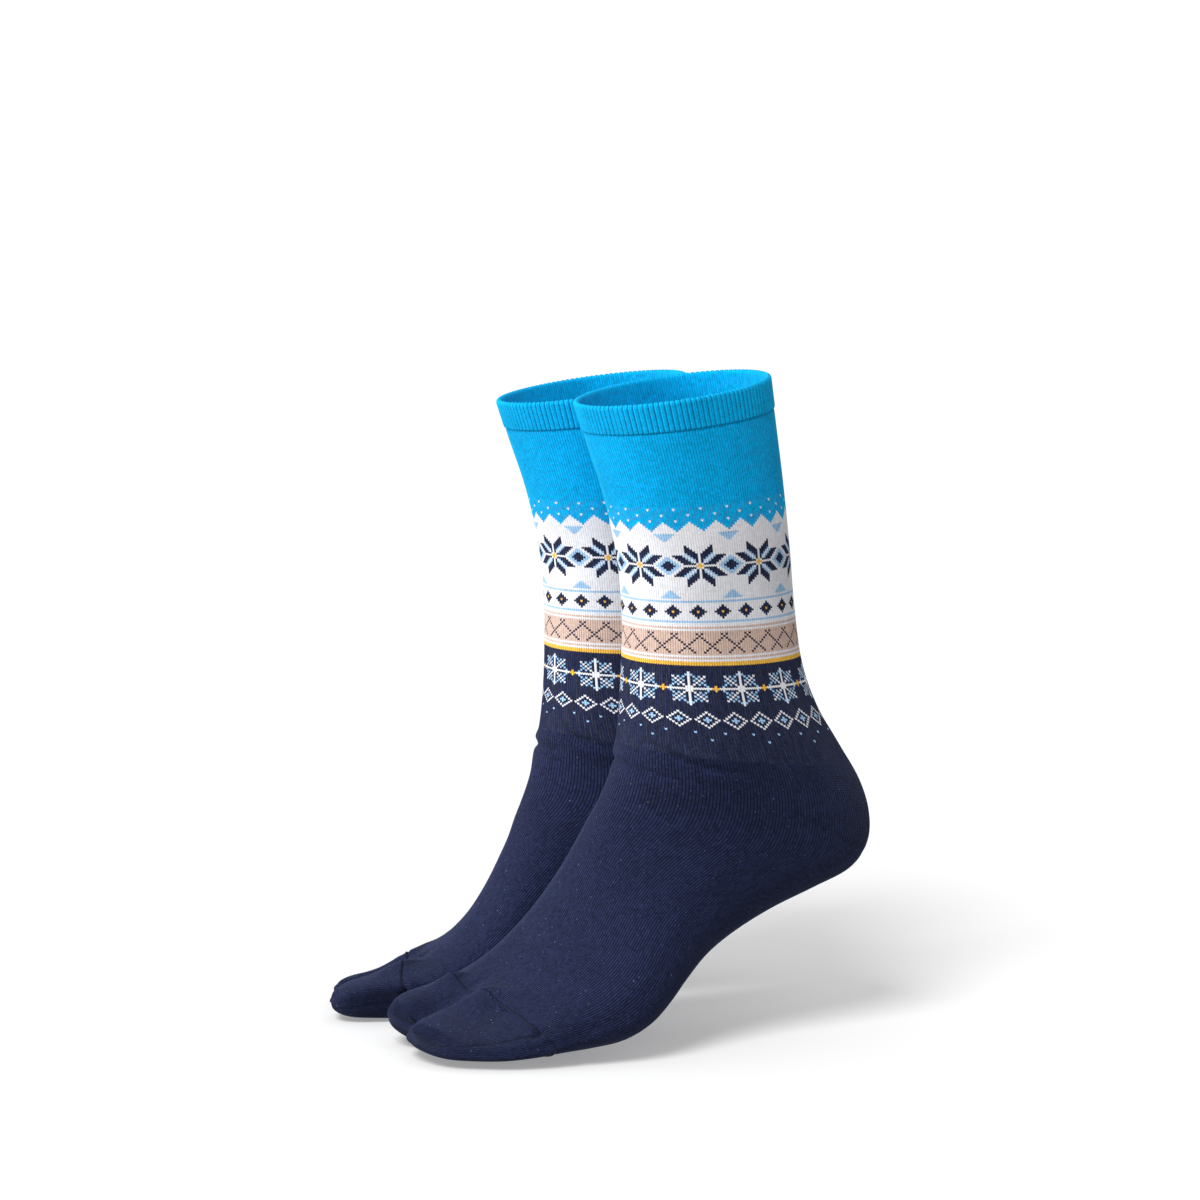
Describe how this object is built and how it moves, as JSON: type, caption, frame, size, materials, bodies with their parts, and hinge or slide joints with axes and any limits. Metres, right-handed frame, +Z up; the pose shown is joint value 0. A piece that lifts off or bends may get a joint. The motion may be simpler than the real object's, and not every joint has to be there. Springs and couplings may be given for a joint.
{
  "type": "pair of crew socks",
  "caption": "Pair of knitted crew socks in the hollow shape worn on tiptoe: ribbed cuffs, patterned legs, plain dark feet with turned heels and closed toes.",
  "frame": {"origin": "midway between the centres of the two cuff openings, where the wearer's legs hold the pair; the floor that the toes stand on is 274 mm lower", "axes": "+Z up, +X to the wearer's left across the pair, toes towards -Y"},
  "size_m": [0.1882, 0.2208, 0.2838],
  "materials": {
    "cuff": "ribbed combed cotton knit, sky blue, matt with a soft nap",
    "leg": "jacquard cotton knit in sky blue, white, light blue, sand, navy and gold, matt",
    "foot": "plain cotton knit, navy, matt with a pale nap at grazing angles",
    "toe": "plain cotton knit, navy, closed with a linked seam, matt"
  },
  "bodies": {
    "root": {"left_cuff": "cuff", "left_leg": "leg", "left_heel": "foot", "left_foot": "foot", "left_toe": "toe", "right_cuff": "cuff", "right_leg": "leg", "right_heel": "foot", "right_foot": "foot", "right_toe": "toe"}
  },
  "joints": []
}
